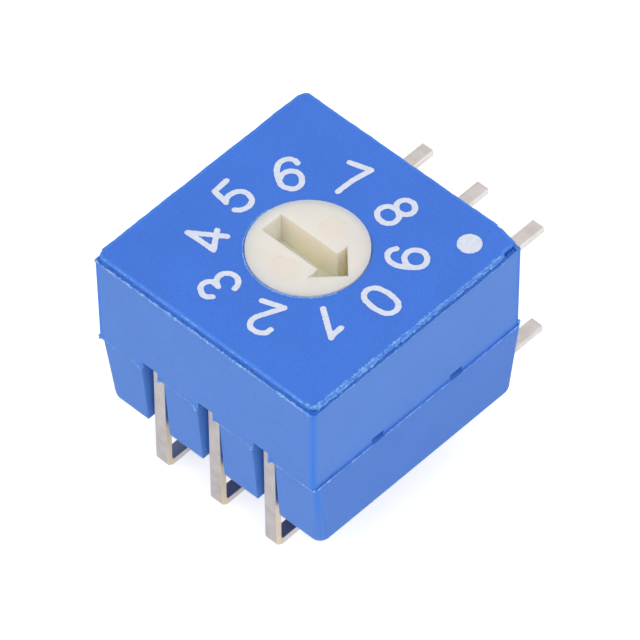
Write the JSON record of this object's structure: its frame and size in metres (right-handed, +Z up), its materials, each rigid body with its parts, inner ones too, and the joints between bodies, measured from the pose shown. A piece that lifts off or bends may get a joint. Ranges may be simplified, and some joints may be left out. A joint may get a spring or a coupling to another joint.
{
  "type": "rotary coded switch",
  "caption": "Square rotary coded switch with a screwdriver dial in its top and two rows of flat leads bent for a board that stands at its side",
  "frame": {"origin": "On the dial's axis, in the plane of the undersides of the lower leads, on which the switch stands", "axes": "+Z up along the dial's axis, +Y the way the solder ends point, +X towards the figure of the zero position"},
  "size_m": [0.01, 0.0136, 0.0093],
  "materials": {
    "body_blue": "finely eroded mould surface",
    "cover_blue": "finely eroded mould surface",
    "rotor_ivory": "satin",
    "seal_rubber": "matt",
    "spring_steel": "rolled",
    "brush_alloy": "gold-plated",
    "lead_tin": "matt tin-plated"
  },
  "bodies": {
    "housing": {"housing": "body_blue", "cover": "cover_blue", "seal_ring": "seal_rubber", "click_spring": "spring_steel", "terminal_1": "lead_tin", "terminal_2": "lead_tin", "terminal_4": "lead_tin", "terminal_8": "lead_tin", "terminal_common": "lead_tin"},
    "rotor": {"rotor": "rotor_ivory", "contact_brush": "brush_alloy"}
  },
  "joints": [
    {"name": "rotor_spin", "type": "hinge", "parent": "housing", "child": "rotor", "pos_m": [0, 0, 0.00928], "axis": [0, 0, 1], "continuous": true, "deforming": ["click_spring"]}
  ]
}
